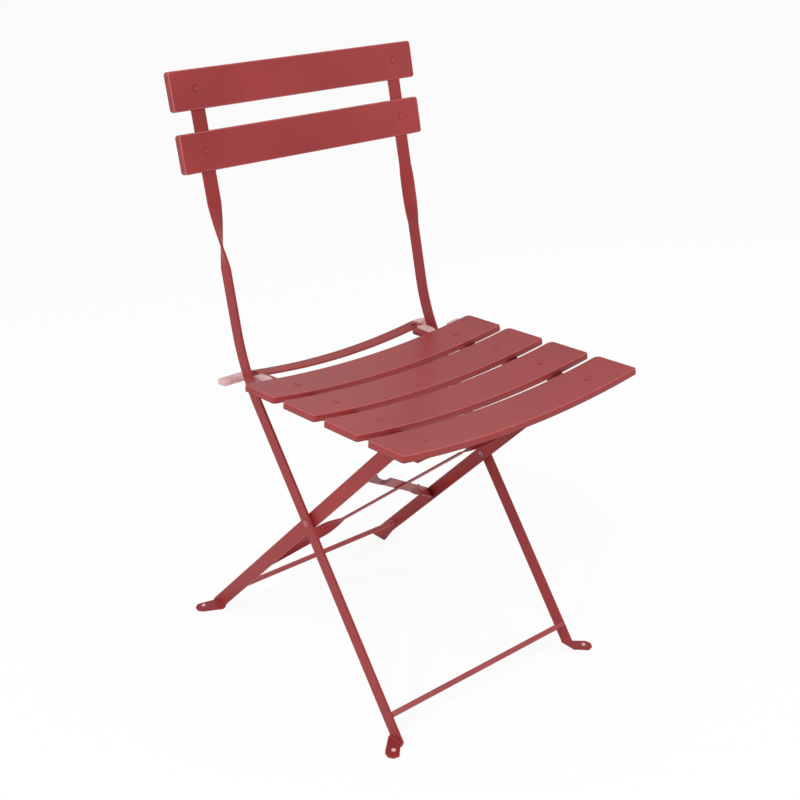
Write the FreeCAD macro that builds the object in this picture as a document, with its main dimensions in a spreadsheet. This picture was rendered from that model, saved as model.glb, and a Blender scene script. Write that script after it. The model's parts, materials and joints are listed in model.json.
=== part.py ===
import FreeCAD, Part
import math
import os
import Sketcher

Vec = FreeCAD.Vector
Rot = FreeCAD.Rotation
Place = FreeCAD.Placement

doc = FreeCAD.newDocument("folding_bistro_chair")

# Sizes in millimetres and degrees. X is across, Y runs to the rear, Z is up.
# The origin lies on the floor in the middle of the chair's outline.
sheet = doc.addObject("Spreadsheet::Sheet", "sizes")
SIZES = [
    ("pivot_y", -11.9, "crossing pivot, distance behind the origin"),
    ("pivot_z", 254.4, "crossing pivot, height above the floor"),
    ("bar_width", 20, "leg bar, wide side"),
    ("bar_thick", 3.5, "leg bar, thin side"),
    ("frame_half", 167.7, "middle of a back leg bar from the centre plane"),
    ("leg_gap", 3.0, "space between the crossing legs"),
    ("run_gap", 0.3, "space between faces that move past each other"),
    ("back_leg_angle", 53.1, "slope of the lower part of the back legs"),
    ("upright_angle", 77.5, "slope of the uprights above the seat"),
    ("bend_reach", 227.3, "pivot to the corner of the bend, along the leg"),
    ("bend_radius", 260, "radius of the bend behind the seat"),
    ("upright_length", 397, "corner of the bend to the top of the upright"),
    ("twist_start", 142, "corner of the bend to the start of the twist"),
    ("twist_length", 88, "length of the quarter twist"),
    ("foot_radius", 2.5, "inner radius of the bend into a foot"),
    ("front_foot_reach", 31, "front foot, leg face to the tip"),
    ("front_foot_skew", 32, "front foot, turn towards the front"),
    ("rear_foot_reach", 34.83, "rear foot, leg face to the tip"),
    ("rear_foot_skew", 8, "rear foot, turn towards the rear"),
    ("foot_corner", 6, "cut corners of a foot"),
    ("foot_hole", 5.6, "hole in a foot, diameter"),
    ("foot_hole_inset", 12, "hole in a foot, distance from the tip"),
    ("rear_leg_angle", 45, "slope of the rear legs"),
    ("seat_pivot_reach", 245, "crossing pivot to the seat pivot"),
    ("rod_dia", 6, "stretcher rods, diameter"),
    ("front_rod_reach", 280, "crossing pivot to the front rod"),
    ("front_rod_offset", 5.4, "front rod, distance ahead of the leg's middle line"),
    ("rear_rod_reach", 291, "crossing pivot to the rear rod"),
    ("rivet_dia", 6, "pivot rivets, diameter"),
    ("pivot_clear", 0.05, "pivot rivets, radial clearance"),
    ("rivet_head", 10, "pivot rivets, head diameter"),
    ("rivet_rise", 2.6, "pivot rivets, head height"),
    ("washer_dia", 15, "spacing washers, diameter"),
    ("fix_dia", 5, "slat rivets, diameter"),
    ("fix_head", 9, "slat rivets, head diameter"),
    ("fix_rise", 2.2, "slat rivets, head height"),
    ("strap_width", 17, "brace straps, width"),
    ("strap_thick", 2, "brace straps, thickness"),
    ("strap_reach", 159.5, "crossing pivot to a strap's end, along the leg"),
    ("strap_tab", 14, "strap end that lies on the leg"),
    ("strap_twist_start", 98, "strap middle to the start of its twist"),
    ("strap_twist_length", 42, "length of a strap's quarter twist"),
    ("seat_slope", 2.63, "seat rises to the front"),
    ("rail_depth", 10, "seat pivot below the top of the rails"),
    ("rail_inner", 134, "inner edge of a seat rail"),
    ("rail_width", 22, "seat rail, width of its top"),
    ("rail_drop", 18, "seat rail, height of its side"),
    ("rail_thick", 2.5, "seat rail, thickness"),
    ("rail_front", 66, "seat pivot to the front end of the rails"),
    ("rail_rear", 325.5, "seat pivot to the rear end of the rails"),
    ("slat_half", 205, "slats, half length"),
    ("slat_sheet", 1.2, "slats, sheet thickness"),
    ("slat_edge", 1.5, "slats, bevel along the folded edge"),
    ("seat_slat_width", 63, "seat slats, front to rear"),
    ("seat_slat_lip", 9, "seat slats, height of the folded lip"),
    ("seat_slat_corner", 10, "seat slats, corner radius"),
    ("seat_slat_radius", 1420, "seat slats, radius of the hollow"),
    ("seat_slat_pitch", 85.8, "seat slats, spacing"),
    ("rear_slat_y", 217.2, "seat pivot to the middle of the rear slat"),
    ("slat_rest", 0.1, "slat lips above the rails at their inner edges"),
    ("slat_hole_play", 0.2, "rail holes, play around the leaning seat rivets"),
    ("seat_rivet_x", 143.2, "seat rivets from the centre plane"),
    ("back_slat_height", 52, "back slats, height"),
    ("back_slat_depth", 10, "back slats, depth of the folded lip"),
    ("back_slat_corner", 6, "back slats, corner radius"),
    ("top_slat_reach", 379, "corner of the bend to the top slat's middle"),
    ("lower_slat_reach", 298.5, "corner of the bend to the lower slat's middle"),
    ("notch_clear", 1, "lip notches, play around the uprights"),
    ("crossbar_y", 309.5, "seat pivot to the middle of the rear crossbar"),
    ("crossbar_width", 16, "rear crossbar, width"),
    ("crossbar_thick", 3, "rear crossbar, thickness"),
    ("crossbar_radius", 1020, "rear crossbar, radius of its sag"),
    ("tongue_depth", 11.5, "rail tongues, front to rear"),
    ("left_tongue", 197, "left rail tongue, reach from the centre plane"),
    ("right_tongue", 176, "right rail tongue, reach from the centre plane"),
    ("cap_wall", 1.5, "guide caps, wall thickness"),
    ("cap_fit", 0.05, "guide caps, play around the tongue"),
    ("cap_over", 47, "guide caps, length of the pad along the rail"),
    ("bumper_inner", 172, "edge bumper, inner end from the centre plane"),
    ("bumper_length", 26, "edge bumper, length"),
    ("bumper_depth", 8, "edge bumper, distance it stands out"),
    ("bumper_height", 6, "edge bumper, height"),
]
for row, (alias, value, note) in enumerate(SIZES, start=1):
    sheet.set("A%d" % row, note)
    sheet.set("B%d" % row, str(value))
    sheet.setAlias("B%d" % row, alias)
doc.recompute()


def size(alias):
    return float(sheet.get(alias))


def sine(degrees):
    return math.sin(math.radians(degrees))


def cosine(degrees):
    return math.cos(math.radians(degrees))


nodes = []


# Bodies are drawn on their own origin planes and every size is bound to the sheet.
def new_body(label, placement=None):
    body = doc.addObject("PartDesign::Body", label)
    body.Label = label
    if placement is not None:
        body.Placement = placement
    nodes.append(body)
    return body


def new_sketch(body, name, role, offset=None):
    sketch = body.newObject("Sketcher::SketchObject", name)
    plane = [f for f in body.Origin.OriginFeatures if f.Role == role][0]
    sketch.AttachmentSupport = (plane, [""])
    sketch.MapMode = "FlatFace"
    for axis, expression in (offset or {}).items():
        sketch.setExpression("AttachmentOffset.Base." + axis, expression)
    return sketch


def add_size(sketch, constraint, expression):
    index = sketch.addConstraint(constraint)
    sketch.setExpression("Constraints[%d]" % index, expression)


def rectangle(sketch, width, height, start=None):
    first = sketch.GeometryCount
    corners = [Vec(-5, -5, 0), Vec(5, -5, 0), Vec(5, 5, 0), Vec(-5, 5, 0)]
    if start is not None:
        corners = [c + Vec(0, -start - 5, 0) for c in corners]
    for i in range(4):
        sketch.addGeometry(Part.LineSegment(corners[i], corners[(i + 1) % 4]))
    for i in range(4):
        ends = (first + i, 2, first + (i + 1) % 4, 1)
        sketch.addConstraint(Sketcher.Constraint("Coincident", *ends))
    for i in (0, 2):
        sketch.addConstraint(Sketcher.Constraint("Horizontal", first + i))
    for i in (1, 3):
        sketch.addConstraint(Sketcher.Constraint("Vertical", first + i))
    bottom = (first, 1, first, 2)
    add_size(sketch, Sketcher.Constraint("DistanceX", *bottom, 10), width)
    side = (first + 1, 1, first + 1, 2)
    add_size(sketch, Sketcher.Constraint("DistanceY", *side, 10), height)
    return first


def centred_rectangle(sketch, width, height):
    first = rectangle(sketch, width, height)
    corners = (first, 1, first + 1, 2, -1, 1)
    sketch.addConstraint(Sketcher.Constraint("Symmetric", *corners))


def circle(sketch, diameter, x="", y=""):
    index = sketch.addGeometry(Part.Circle(Vec(0, 0, 0), Vec(0, 0, 1), 2))
    add_size(sketch, Sketcher.Constraint("Diameter", index, 4), diameter)
    if not x and not y:
        sketch.addConstraint(Sketcher.Constraint("Coincident", index, 3, -1, 1))
        return
    for kind, value in (("DistanceX", x), ("DistanceY", y)):
        spot = Sketcher.Constraint(kind, -1, 1, index, 3, 1)
        add_size(sketch, spot, value or "0")


def pad(body, name, sketch, length, both=True):
    feature = body.newObject("PartDesign::Pad", name)
    feature.Profile = sketch
    feature.SideType = "Symmetric" if both else "One side"
    feature.setExpression("Length", length)
    body.Tip = feature
    doc.recompute()
    return feature


def pocket(body, name, sketch, length):
    feature = body.newObject("PartDesign::Pocket", name)
    feature.Profile = sketch
    feature.SideType = "Symmetric"
    feature.setExpression("Length", length)
    body.Tip = feature
    doc.recompute()
    return feature


def fillet(body, name, base, edges, radius):
    feature = body.newObject("PartDesign::Fillet", name)
    feature.Base = (base, edges)
    feature.setExpression("Radius", radius)
    body.Tip = feature
    doc.recompute()
    return feature


def bevel(body, name, base, edges, width):
    feature = body.newObject("PartDesign::Chamfer", name)
    feature.Base = (base, edges)
    feature.setExpression("Size", width)
    body.Tip = feature
    doc.recompute()
    return feature


def shell(body, name, base, faces, wall):
    feature = body.newObject("PartDesign::Thickness", name)
    feature.Base = (base, faces)
    feature.setExpression("Value", wall)
    feature.Reversed = True
    body.Tip = feature
    doc.recompute()
    return feature


def edges_where(shape, test):
    found = []
    for i, edge in enumerate(shape.Edges, start=1):
        if all(test(point) for point in edge.discretize(5)):
            found.append("Edge%d" % i)
    return found


def faces_where(shape, test):
    found = []
    for i, face in enumerate(shape.Faces, start=1):
        if all(test(vertex.Point) for vertex in face.Vertexes):
            found.append("Face%d" % i)
    return found


# Solids that are bent and twisted out of one bar take their sizes from the sheet here.
def keep_shape(label, shape, placement=None):
    node = doc.addObject("Part::Feature", label)
    node.Label = label
    node.Shape = shape
    if placement is not None:
        node.Placement = placement
    nodes.append(node)
    return node


def prism(points, direction):
    return Part.Face(Part.makePolygon(points + [points[0]])).extrude(direction)


def section(middle, wide, thin):
    corners = [middle + wide * a + thin * b for a, b in ((1, 1), (-1, 1), (-1, -1), (1, -1))]
    return Part.makePolygon(corners + [corners[0]])


def twisted(start, axis, wide, length, half_wide, half_thin, turn):
    steps = 6
    wires = []
    for i in range(steps + 1):
        part_turn = Rot(axis, turn * i / steps)
        across = part_turn.multVec(wide)
        middle = start + axis * (length * i / steps)
        wires.append(section(middle, across * half_wide, axis.cross(across) * half_thin))
    return Part.makeLoft(wires, True, False)


def mirrored(shape):
    return shape.mirror(Vec(0, 0, 0), Vec(1, 0, 0))


pivot = Vec(0, size("pivot_y"), size("pivot_z"))
half_bar = size("bar_width") / 2
half_thick = size("bar_thick") / 2
frame_x = size("frame_half")
rear_x = frame_x - size("bar_thick") - size("leg_gap")
back_dir = Vec(0, cosine(size("back_leg_angle")), sine(size("back_leg_angle")))
upright_dir = Vec(0, cosine(size("upright_angle")), sine(size("upright_angle")))
rear_dir = Vec(0, -cosine(size("rear_leg_angle")), sine(size("rear_leg_angle")))
foot_top = size("foot_radius") + size("bar_thick")


def side_normal(direction):
    return Vec(0, -direction.z, direction.y)


# A foot is the end of the bar, bent outward until it lies on the floor.
def foot(bar_x, direction, reach, skew):
    outer = bar_x + half_thick
    ground = pivot - direction * (pivot.z / direction.z)
    cut = pivot - direction * ((pivot.z - foot_top) / direction.z)
    half_cut = half_bar / direction.z
    near = cut.y - half_cut
    far = cut.y + half_cut
    inner = bar_x - half_thick
    face = prism([Vec(inner, near, foot_top), Vec(outer, near, foot_top),
                  Vec(outer, far, foot_top), Vec(inner, far, foot_top)], Vec(0, 0, 0.001)).Faces
    face = [f for f in face if abs(f.CenterOfMass.z - foot_top) < 0.0001][0]
    hinge = Vec(outer + size("foot_radius"), 0, foot_top)
    bend = face.revolve(hinge, Vec(0, -1, 0), 90)
    lead = -1 if direction.y > 0 else 1
    along = Vec(cosine(skew), lead * sine(skew), 0)
    across = Vec(-along.y, along.x, 0)
    tip = Vec(outer, ground.y, 0) + along * reach
    corner = size("foot_corner")
    low = near if across.y > 0 else far
    high = far if across.y > 0 else near
    outline = [Vec(hinge.x, low, 0),
               tip - across * half_bar - along * corner,
               tip - across * (half_bar - corner),
               tip + across * (half_bar - corner),
               tip + across * half_bar - along * corner,
               Vec(hinge.x, high, 0)]
    plate = prism(outline, Vec(0, 0, size("bar_thick")))
    spot = tip - along * size("foot_hole_inset")
    plate = plate.cut(Part.makeCylinder(size("foot_hole") / 2, foot_top, spot))
    return [bend, plate], cut, spot


# One side of the backrest: foot, sloping leg, bend, upright, quarter twist, flat top.
def back_leg():
    across = side_normal(back_dir)
    parts, cut, hole_spot = foot(frame_x, back_dir, size("front_foot_reach"),
                                 size("front_foot_skew"))
    inner = Vec(frame_x - half_thick, 0, 0)
    width = Vec(size("bar_thick"), 0, 0)
    sweep = size("upright_angle") - size("back_leg_angle")
    corner = pivot + back_dir * size("bend_reach")
    tangent = size("bend_radius") * math.tan(math.radians(sweep / 2))
    lower_end = corner - back_dir * tangent
    skewed = Vec(0, half_bar / back_dir.z, 0)
    parts.append(prism([cut - skewed + inner, cut + skewed + inner,
                        lower_end - across * half_bar + inner,
                        lower_end + across * half_bar + inner], width))
    profile = Part.Face(section(lower_end + Vec(frame_x, 0, 0), across * half_bar,
                                Vec(half_thick, 0, 0)))
    centre = lower_end + across * size("bend_radius")
    parts.append(profile.revolve(centre, Vec(1, 0, 0), sweep))
    upright_across = side_normal(upright_dir)
    bend_end = corner + upright_dir * tangent
    twist_from = corner + upright_dir * size("twist_start")
    parts.append(prism([bend_end - upright_across * half_bar + inner,
                        bend_end + upright_across * half_bar + inner,
                        twist_from + upright_across * half_bar + inner,
                        twist_from - upright_across * half_bar + inner], width))
    parts.append(twisted(twist_from + Vec(frame_x, 0, 0), upright_dir, upright_across,
                         size("twist_length"), half_bar, half_thick, 90))
    twist_to = twist_from + upright_dir * size("twist_length")
    flat = section(twist_to + Vec(frame_x, 0, 0), Vec(half_bar, 0, 0),
                   upright_across * half_thick)
    rest = size("upright_length") - size("twist_start") - size("twist_length")
    parts.append(Part.Face(flat).extrude(upright_dir * rest))
    shape = parts[0].multiFuse(parts[1:]).removeSplitter()
    pin = Part.makeCylinder(size("rivet_dia") / 2, 2 * size("bar_width"),
                            pivot + Vec(frame_x - half_bar, 0, 0), Vec(1, 0, 0))
    shape = shape.cut(pin)
    for reach in (size("top_slat_reach"), size("lower_slat_reach")):
        spot = corner + upright_dir * reach + Vec(frame_x, 0, 0)
        shape = shape.cut(Part.makeCylinder(size("fix_dia") / 2, size("bar_width"),
                                            spot - upright_across * half_bar, upright_across))
    return shape, hole_spot


def rear_leg():
    across = side_normal(rear_dir)
    parts, cut, hole_spot = foot(rear_x, rear_dir, size("rear_foot_reach"),
                                 size("rear_foot_skew"))
    inner = Vec(rear_x - half_thick, 0, 0)
    width = Vec(size("bar_thick"), 0, 0)
    top = pivot + rear_dir * size("seat_pivot_reach")
    skewed = Vec(0, half_bar / rear_dir.z, 0)
    parts.append(prism([cut - skewed + inner, cut + skewed + inner,
                        top - across * half_bar + inner,
                        top + across * half_bar + inner], width))
    parts.append(Part.makeCylinder(half_bar, size("bar_thick"), top + inner, Vec(1, 0, 0)))
    shape = parts[0].multiFuse(parts[1:]).removeSplitter()
    running = size("rivet_dia") / 2 + size("pivot_clear")
    for spot, radius in ((pivot, running), (top, size("rivet_dia") / 2)):
        shape = shape.cut(Part.makeCylinder(radius, size("bar_width"), spot + inner
                                            - Vec(half_bar, 0, 0), Vec(1, 0, 0)))
    return shape, hole_spot


right_back_leg, front_hole = back_leg()
right_rear_leg, rear_hole = rear_leg()
keep_shape("right_back_leg", right_back_leg)
keep_shape("left_back_leg", mirrored(right_back_leg))
keep_shape("right_rear_leg", right_rear_leg)
keep_shape("left_rear_leg", mirrored(right_rear_leg))


# Stretcher rods, butted between the flat legs.
def rod(label, axis_point, half_length):
    node = doc.addObject("Part::Cylinder", label)
    node.Label = label
    node.setExpression("Radius", "sizes.rod_dia / 2")
    node.setExpression("Height", half_length)
    start = size("frame_half") - half_thick
    if label == "rear_stretcher_rod":
        start = rear_x - half_thick
    node.Placement = Place(Vec(-start, axis_point.y, axis_point.z), Rot(Vec(0, 1, 0), 90))
    nodes.append(node)


front_rod = pivot - back_dir * size("front_rod_reach")
front_rod = front_rod + side_normal(back_dir) * size("front_rod_offset")
rod("front_stretcher_rod", front_rod, "2 * sizes.frame_half - sizes.bar_thick")
rear_rod = pivot - rear_dir * size("rear_rod_reach")
rod("rear_stretcher_rod", rear_rod,
    "2 * (sizes.frame_half - sizes.leg_gap) - 3 * sizes.bar_thick")


# The two straps of the brace cross at the pivot line and lie one over the other.
# Each is flat in the middle, twists a quarter turn and ends flat on a rear leg.
def brace_strap(lift, mirror):
    normal = Vec(0, rear_dir.z, -rear_dir.y)
    wide = size("strap_width") / 2
    thin = size("strap_thick") / 2
    wall = rear_x - half_thick
    reach = size("strap_reach")
    run = math.hypot(wall, reach)
    along = Vec(1, 0, 0) * (wall / run) + rear_dir * (reach / run)
    across = normal.cross(along)
    middle = pivot + normal * lift
    begin = size("strap_twist_start")
    length = size("strap_twist_length")
    half = [Part.Face(section(middle, across * wide, normal * thin)).extrude(along * begin)]
    half.append(twisted(middle + along * begin, along, across, length, wide, thin, 90))
    knee = begin + length
    side = across * thin
    tab_end = middle + along * run
    slant = size("strap_thick") * along.dot(rear_dir) / along.x
    outline = [middle + along * knee - side, middle + along * knee + side]
    outer_line = outline[1] if side.x > 0 else outline[0]
    inner_line = outline[0] if side.x > 0 else outline[1]
    outer_hit = outer_line + along * ((wall - outer_line.x) / along.x)
    inner_wall = wall - size("strap_thick")
    inner_hit = inner_line + along * ((inner_wall - inner_line.x) / along.x)
    tab = rear_dir * size("strap_tab")
    points = [inner_line, outer_line, outer_hit, outer_hit + tab,
              outer_hit + tab - Vec(size("strap_thick"), 0, 0), inner_hit]
    end = prism([p - normal * (wide + lift) + normal * lift for p in points],
                normal * (2 * wide))
    half.append(end)
    shape = half[0].multiFuse(half[1:])
    turned = shape.copy()
    turned.rotate(middle, normal, 180)
    shape = shape.fuse(turned).removeSplitter()
    return mirrored(shape) if mirror else shape


strap_lift = size("strap_thick") / 2
keep_shape("lower_brace_strap", brace_strap(-strap_lift, False))
keep_shape("upper_brace_strap", brace_strap(strap_lift, True))


# Rivets are turned shapes: a shank with a bevelled head, and a closing head on the pivots.
def rivet(shank_dia, head_dia, rise, length, closing_rise=0.0):
    head = Part.makeCone(head_dia / 2, head_dia / 2 - rise, rise, Vec(0, 0, length))
    parts = [Part.makeCylinder(shank_dia / 2, length)]
    if closing_rise:
        parts.append(Part.makeCylinder(head_dia / 2, closing_rise, Vec(0, 0, -closing_rise)))
    return head.multiFuse(parts).removeSplitter()


def placed(shape, base, rotation):
    copy = shape.copy()
    copy.Placement = Place(base, rotation)
    return copy


outward = Rot(Vec(0, 1, 0), 90)
inward = Rot(Vec(0, 1, 0), -90)
rear_inner = rear_x - half_thick
pivot_rivet = rivet(size("rivet_dia"), size("rivet_head"), size("rivet_rise"),
                    frame_x + half_thick - rear_inner + size("run_gap"), size("rivet_rise") / 2)
right_pivot = placed(pivot_rivet, pivot + Vec(rear_inner - size("run_gap"), 0, 0), outward)
keep_shape("right_pivot_rivet", right_pivot)
keep_shape("left_pivot_rivet", mirrored(right_pivot))
ring_wide = size("leg_gap") - size("run_gap")


def ring(start, width):
    outer = Part.makeCylinder(size("washer_dia") / 2, width, start, Vec(1, 0, 0))
    return outer.cut(Part.makeCylinder(size("rivet_dia") / 2, width, start, Vec(1, 0, 0)))


pivot_ring = ring(pivot + Vec(frame_x - half_thick - ring_wide, 0, 0), ring_wide)
keep_shape("pivot_washers", Part.makeCompound([pivot_ring, mirrored(pivot_ring)]))

# The seat has its own frame: the seat pivot is its zero and Y runs along the rails.
seat_pivot = pivot + rear_dir * size("seat_pivot_reach")
seat_place = Place(seat_pivot, Rot(Vec(1, 0, 0), -size("seat_slope")))
rail_outer = size("rail_inner") + size("rail_width")
seat_ring_wide = rear_inner - rail_outer - size("run_gap")
seat_ring = ring(seat_pivot + Vec(rear_inner - seat_ring_wide, 0, 0), seat_ring_wide)
keep_shape("seat_pivot_washers", Part.makeCompound([seat_ring, mirrored(seat_ring)]))
seat_rivet_start = rail_outer - size("rail_thick") - size("run_gap")
seat_pivot_rivet = rivet(size("rivet_dia"), size("rivet_head"), size("rivet_rise") / 2,
                         rear_x + half_thick - seat_rivet_start, size("rivet_rise") / 2)
seat_pin = placed(seat_pivot_rivet, seat_pivot + Vec(seat_rivet_start, 0, 0), outward)
keep_shape("seat_pivot_rivets", Part.makeCompound([seat_pin, mirrored(seat_pin)]))


# Slat rivets lean with the hollow of the slat, so they meet the rail a little further out.
DROP = "(sizes.seat_slat_lip + sizes.slat_rest)"
LEAN = DROP + " * sizes.seat_rivet_x / sizes.seat_slat_radius"


# Seat rails: an angle under the slats, with a tongue that reaches out behind the upright.
def seat_rail(label, side, tongue):
    body = new_body(label, seat_place)
    mid_x = "%d * (sizes.rail_inner + sizes.rail_width / 2)" % side
    mid_y = "(sizes.rail_rear - sizes.rail_front) / 2"
    length = "sizes.rail_rear + sizes.rail_front"
    top = new_sketch(body, "top_outline", "XY_Plane",
                     {"x": mid_x, "y": mid_y, "z": "sizes.rail_depth - sizes.rail_thick / 2"})
    centred_rectangle(top, "sizes.rail_width", length)
    pad(body, "top_plate", top, "sizes.rail_thick")
    edge_x = "%d * (sizes.rail_inner + sizes.rail_width - sizes.rail_thick / 2)" % side
    web = new_sketch(body, "side_outline", "XY_Plane",
                     {"x": edge_x, "y": mid_y, "z": "sizes.rail_depth - sizes.rail_drop / 2"})
    centred_rectangle(web, "sizes.rail_thick", length)
    pad(body, "side_plate", web, "sizes.rail_drop")
    reach_x = "%d * (sizes.rail_inner + sizes.%s) / 2" % (side, tongue)
    arm = new_sketch(body, "tongue_outline", "XY_Plane",
                     {"x": reach_x, "y": "sizes.rail_rear - sizes.tongue_depth / 2",
                      "z": "sizes.rail_depth - sizes.rail_thick / 2"})
    centred_rectangle(arm, "sizes.%s - sizes.rail_inner" % tongue, "sizes.tongue_depth")
    pad(body, "tongue", arm, "sizes.rail_thick")
    bore = new_sketch(body, "pivot_hole_outline", "YZ_Plane", {"z": edge_x})
    circle(bore, "sizes.rivet_dia + 2 * sizes.pivot_clear")
    pocket(body, "pivot_hole", bore, "3 * sizes.rail_thick")
    holes = new_sketch(body, "rivet_hole_outline", "XY_Plane",
                       {"z": "sizes.rail_depth - sizes.rail_thick / 2"})
    for i in range(4):
        circle(holes, "sizes.fix_dia + 2 * sizes.slat_hole_play",
               "%d * (sizes.seat_rivet_x + %s)" % (side, LEAN),
               "sizes.rear_slat_y - %d * sizes.seat_slat_pitch" % i)
    circle(holes, "sizes.fix_dia", "%d * sizes.seat_rivet_x" % side, "sizes.crossbar_y")
    pocket(body, "rivet_holes", holes, "2 * sizes.rail_thick")
    return body


seat_rail("right_seat_rail", 1, "right_tongue")
seat_rail("left_seat_rail", -1, "left_tongue")

# Height of a seat slat's middle above the top of the rails.
slat_rise = (size("seat_slat_lip") + size("slat_rest")
             - size("rail_inner") ** 2 / (2 * size("seat_slat_radius")))
RISE = ("(sizes.rail_depth + sizes.seat_slat_lip + sizes.slat_rest"
        " - sizes.rail_inner ^ 2 / (2 * sizes.seat_slat_radius))")


# Seat slats: a hollow, pressed pan with its lip folded down all round.
def seat_slat(label, index):
    body = new_body(label, seat_place)
    radius = size("seat_slat_radius")
    middle = size("rear_slat_y") - index * size("seat_slat_pitch")
    arc = new_sketch(body, "cross_section", "YZ_Plane",
                     {"x": "sizes.rear_slat_y - %d * sizes.seat_slat_pitch" % index,
                      "y": RISE + " + sizes.seat_slat_radius"})
    first = rectangle(arc, "sizes.seat_slat_width", "sizes.seat_slat_lip", radius)
    add_size(arc, Sketcher.Constraint("DistanceX", first, 1, -1, 1, 5),
             "sizes.seat_slat_width / 2")
    add_size(arc, Sketcher.Constraint("DistanceY", first + 2, 1, -1, 1, radius),
             "sizes.seat_slat_radius")
    turn = body.newObject("PartDesign::Revolution", "hollow_block")
    turn.Profile = arc
    turn.ReferenceAxis = (arc, ["H_Axis"])
    turn.Midplane = True
    turn.setExpression("Angle", "2 * asin(sizes.slat_half / sizes.seat_slat_radius)")
    body.Tip = turn
    doc.recompute()
    centre_z = size("rail_depth") + slat_rise + radius
    half_width = size("seat_slat_width") / 2

    def depth(point):
        return math.hypot(point.x, centre_z - point.z)

    def at_corner(point):
        return abs(point.x) > size("slat_half") - 5 and abs(point.y - middle) > half_width - 0.1

    corners = edges_where(body.Tip.Shape, at_corner)
    rounded = fillet(body, "corners", turn, corners, "sizes.seat_slat_corner")
    under = faces_where(body.Tip.Shape, lambda p: depth(p) > radius + size("seat_slat_lip") - 0.1)
    pan = shell(body, "pan", rounded, under, "sizes.slat_sheet")
    rim = edges_where(body.Tip.Shape, lambda p: abs(depth(p) - radius) < 0.05)
    bevel(body, "folded_edge", pan, rim, "sizes.slat_edge")
    holes = new_sketch(body, "rivet_hole_outline", "XY_Plane",
                       {"y": "sizes.rear_slat_y - %d * sizes.seat_slat_pitch" % index,
                        "z": "sizes.rail_depth + sizes.seat_slat_lip"})
    for side in (1, -1):
        circle(holes, "sizes.fix_dia + 2 * sizes.cap_fit", "%d * sizes.seat_rivet_x" % side)
    pocket(body, "rivet_holes", holes, "2 * sizes.seat_slat_lip")
    return body


for index, label in enumerate(("seat_slat_rear", "seat_slat_second", "seat_slat_third",
                               "seat_slat_front")):
    seat_slat(label, index)

# Seat rivets, eight alike: each stands square on the hollow of its slat.
arc_top = size("rail_depth") + slat_rise + size("seat_slat_radius")
lean = math.degrees(math.asin(size("seat_rivet_x") / size("seat_slat_radius")))
through = size("seat_slat_lip") + size("slat_rest") + size("rail_thick") + size("notch_clear")
seat_rivet = rivet(size("fix_dia"), size("fix_head"), size("fix_rise"), through)
pins = []
for index in range(4):
    row_y = size("rear_slat_y") - index * size("seat_slat_pitch")
    for side in (1, -1):
        tilt = Rot(Vec(0, 1, 0), -side * lean)
        up = tilt.multVec(Vec(0, 0, 1))
        head = Vec(0, row_y, arc_top) - up * size("seat_slat_radius")
        pins.append(placed(seat_rivet, head - up * through, tilt))
keep_shape("seat_slat_rivets", Part.makeCompound(pins), seat_place)

# Rear crossbar: a flat bar that sags between the rails and lies flat on their ends.
crossbar = new_body("rear_crossbar", seat_place)
sag_radius = size("crossbar_radius")
strip = new_sketch(crossbar, "cross_section", "YZ_Plane",
                   {"x": "sizes.crossbar_y",
                    "y": "sizes.rail_depth + sqrt(sizes.crossbar_radius ^ 2"
                         " - sizes.rail_inner ^ 2)"})
edge = rectangle(strip, "sizes.crossbar_width", "sizes.crossbar_thick", sag_radius)
add_size(strip, Sketcher.Constraint("DistanceX", edge, 1, -1, 1, 5),
         "sizes.crossbar_width / 2")
add_size(strip, Sketcher.Constraint("DistanceY", edge, 1, -1, 1, sag_radius),
         "sizes.crossbar_radius")
sag = crossbar.newObject("PartDesign::Revolution", "sagging_part")
sag.Profile = strip
sag.ReferenceAxis = (strip, ["H_Axis"])
sag.Midplane = True
sag.setExpression("Angle", "2 * asin(sizes.rail_inner / sizes.crossbar_radius)")
crossbar.Tip = sag
doc.recompute()
for side, name in ((1, "right"), (-1, "left")):
    end = new_sketch(crossbar, name + "_end_outline", "XY_Plane",
                     {"x": "%d * (sizes.rail_inner + sizes.rail_width / 2 - sizes.cap_wall)"
                      % side,
                      "y": "sizes.crossbar_y",
                      "z": "sizes.rail_depth + sizes.crossbar_thick / 2"})
    centred_rectangle(end, "sizes.rail_width", "sizes.crossbar_width")
    pad(crossbar, name + "_end", end, "sizes.crossbar_thick")
bores = new_sketch(crossbar, "rivet_hole_outline", "XY_Plane",
                   {"y": "sizes.crossbar_y", "z": "sizes.rail_depth"})
for side in (1, -1):
    circle(bores, "sizes.fix_dia", "%d * sizes.seat_rivet_x" % side)
pocket(crossbar, "rivet_holes", bores, "4 * sizes.crossbar_thick")

short = size("rail_thick") + size("crossbar_thick")
bar_rivet = rivet(size("fix_dia"), size("fix_head"), size("fix_rise"), short)
foot_z = size("rail_depth") - size("rail_thick")
bar_pins = [placed(bar_rivet, Vec(side * size("seat_rivet_x"), size("crossbar_y"), foot_z),
                   Rot()) for side in (1, -1)]
keep_shape("crossbar_rivets", Part.makeCompound(bar_pins), seat_place)


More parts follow.
